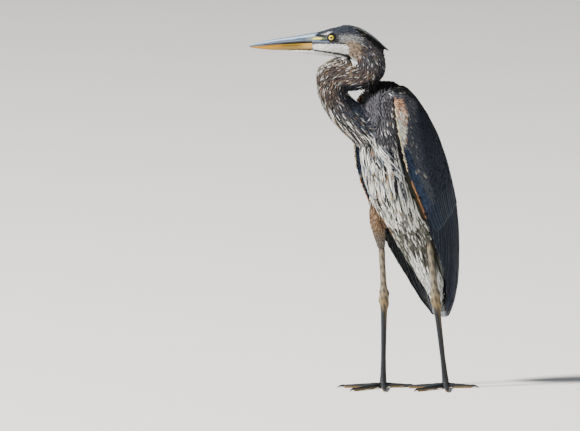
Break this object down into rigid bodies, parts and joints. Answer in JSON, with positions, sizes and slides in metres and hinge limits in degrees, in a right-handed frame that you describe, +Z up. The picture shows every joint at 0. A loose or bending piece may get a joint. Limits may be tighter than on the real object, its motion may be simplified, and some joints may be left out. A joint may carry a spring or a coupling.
{
  "type": "great blue heron",
  "caption": "Great blue heron, standing still at life size on both feet, wings folded, neck bent back and the head turned to its right.",
  "frame": {"origin": "on the floor under the middle of the bird's bounding box", "axes": "+Z up; the breast faces -Y and the bird's left side is +X; the bill points 45 degrees to its right, towards -X -Y"},
  "size_m": [0.2959, 0.3929, 0.7354],
  "materials": {
    "covert_feathers": "soft matte feather vanes with a faint sheen",
    "quill_feathers": "smooth satin feather vanes",
    "belly_feathers": "loose matte plumes, pale with dark streaks",
    "neck_feathers": "short matte feathers, streaked",
    "crown_feathers": "very short smooth feathers",
    "crest_feathers": "smooth dark plumes",
    "chin_feathers": "very short white feathers",
    "thigh_feathers": "short matte feathers",
    "bill_slate": "horn, satin, slate blue with paler streaks",
    "bill_orange": "horn, satin, orange yellow",
    "eye": "wet gloss, yellow iris with a black pupil",
    "leg_scales": "scaled skin, semi-matte",
    "toe_scales": "scaled skin, dark above and ochre along the lower edge",
    "claw": "horn, satin black"
  },
  "bodies": {
    "root": {"trunk": "belly_feathers", "neck_lower": "neck_feathers", "neck_middle": "neck_feathers", "neck_upper": "neck_feathers", "head": "crown_feathers", "crest": "crest_feathers", "chin": "chin_feathers", "eye_left": "eye", "eye_right": "eye", "bill_upper": "bill_slate", "bill_lower": "bill_orange", "tail": "quill_feathers", "wing_left_coverts": "covert_feathers", "wing_left_quills": "quill_feathers", "thigh_left": "thigh_feathers", "shank_left": "leg_scales", "tarsus_left": "leg_scales", "sole_left": "toe_scales", "toe_left_inner": "toe_scales", "claw_left_inner": "claw", "toe_left_middle": "toe_scales", "claw_left_middle": "claw", "toe_left_outer": "toe_scales", "claw_left_outer": "claw", "toe_left_hind": "toe_scales", "claw_left_hind": "claw", "wing_right_coverts": "covert_feathers", "wing_right_quills": "quill_feathers", "thigh_right": "thigh_feathers", "shank_right": "leg_scales", "tarsus_right": "leg_scales", "sole_right": "toe_scales", "toe_right_inner": "toe_scales", "claw_right_inner": "claw", "toe_right_middle": "toe_scales", "claw_right_middle": "claw", "toe_right_outer": "toe_scales", "claw_right_outer": "claw", "toe_right_hind": "toe_scales", "claw_right_hind": "claw"}
  },
  "joints": []
}
